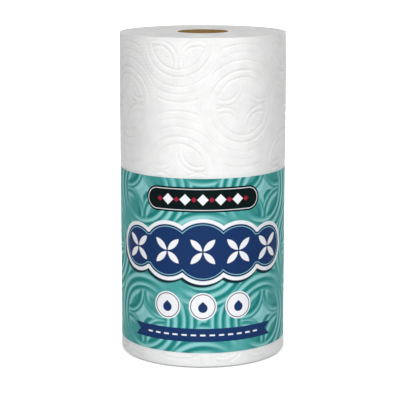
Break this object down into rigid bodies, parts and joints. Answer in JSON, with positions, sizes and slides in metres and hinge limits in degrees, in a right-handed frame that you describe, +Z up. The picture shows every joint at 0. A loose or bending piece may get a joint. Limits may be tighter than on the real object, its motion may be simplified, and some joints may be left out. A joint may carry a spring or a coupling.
{
  "type": "paper towel roll",
  "caption": "Upright roll of embossed white paper towel wound on a cardboard core, with a printed sleeve round its lower half. It slips over a holder's rod by its core.",
  "frame": {"origin": "centre of the foot that the roll stands on, on the axis of the core", "axes": "+Z up along the core, the printed front faces -Y, the sleeve's seam is on +Y"},
  "size_m": [0.1434, 0.1437, 0.279],
  "materials": {
    "towel_paper": "soft matte, embossed",
    "core_board": "raw kraft board",
    "sleeve_print": "printed film, semi-gloss"
  },
  "bodies": {
    "root": {"towel_roll": "towel_paper", "core": "core_board", "label_sleeve": "sleeve_print"}
  },
  "joints": []
}
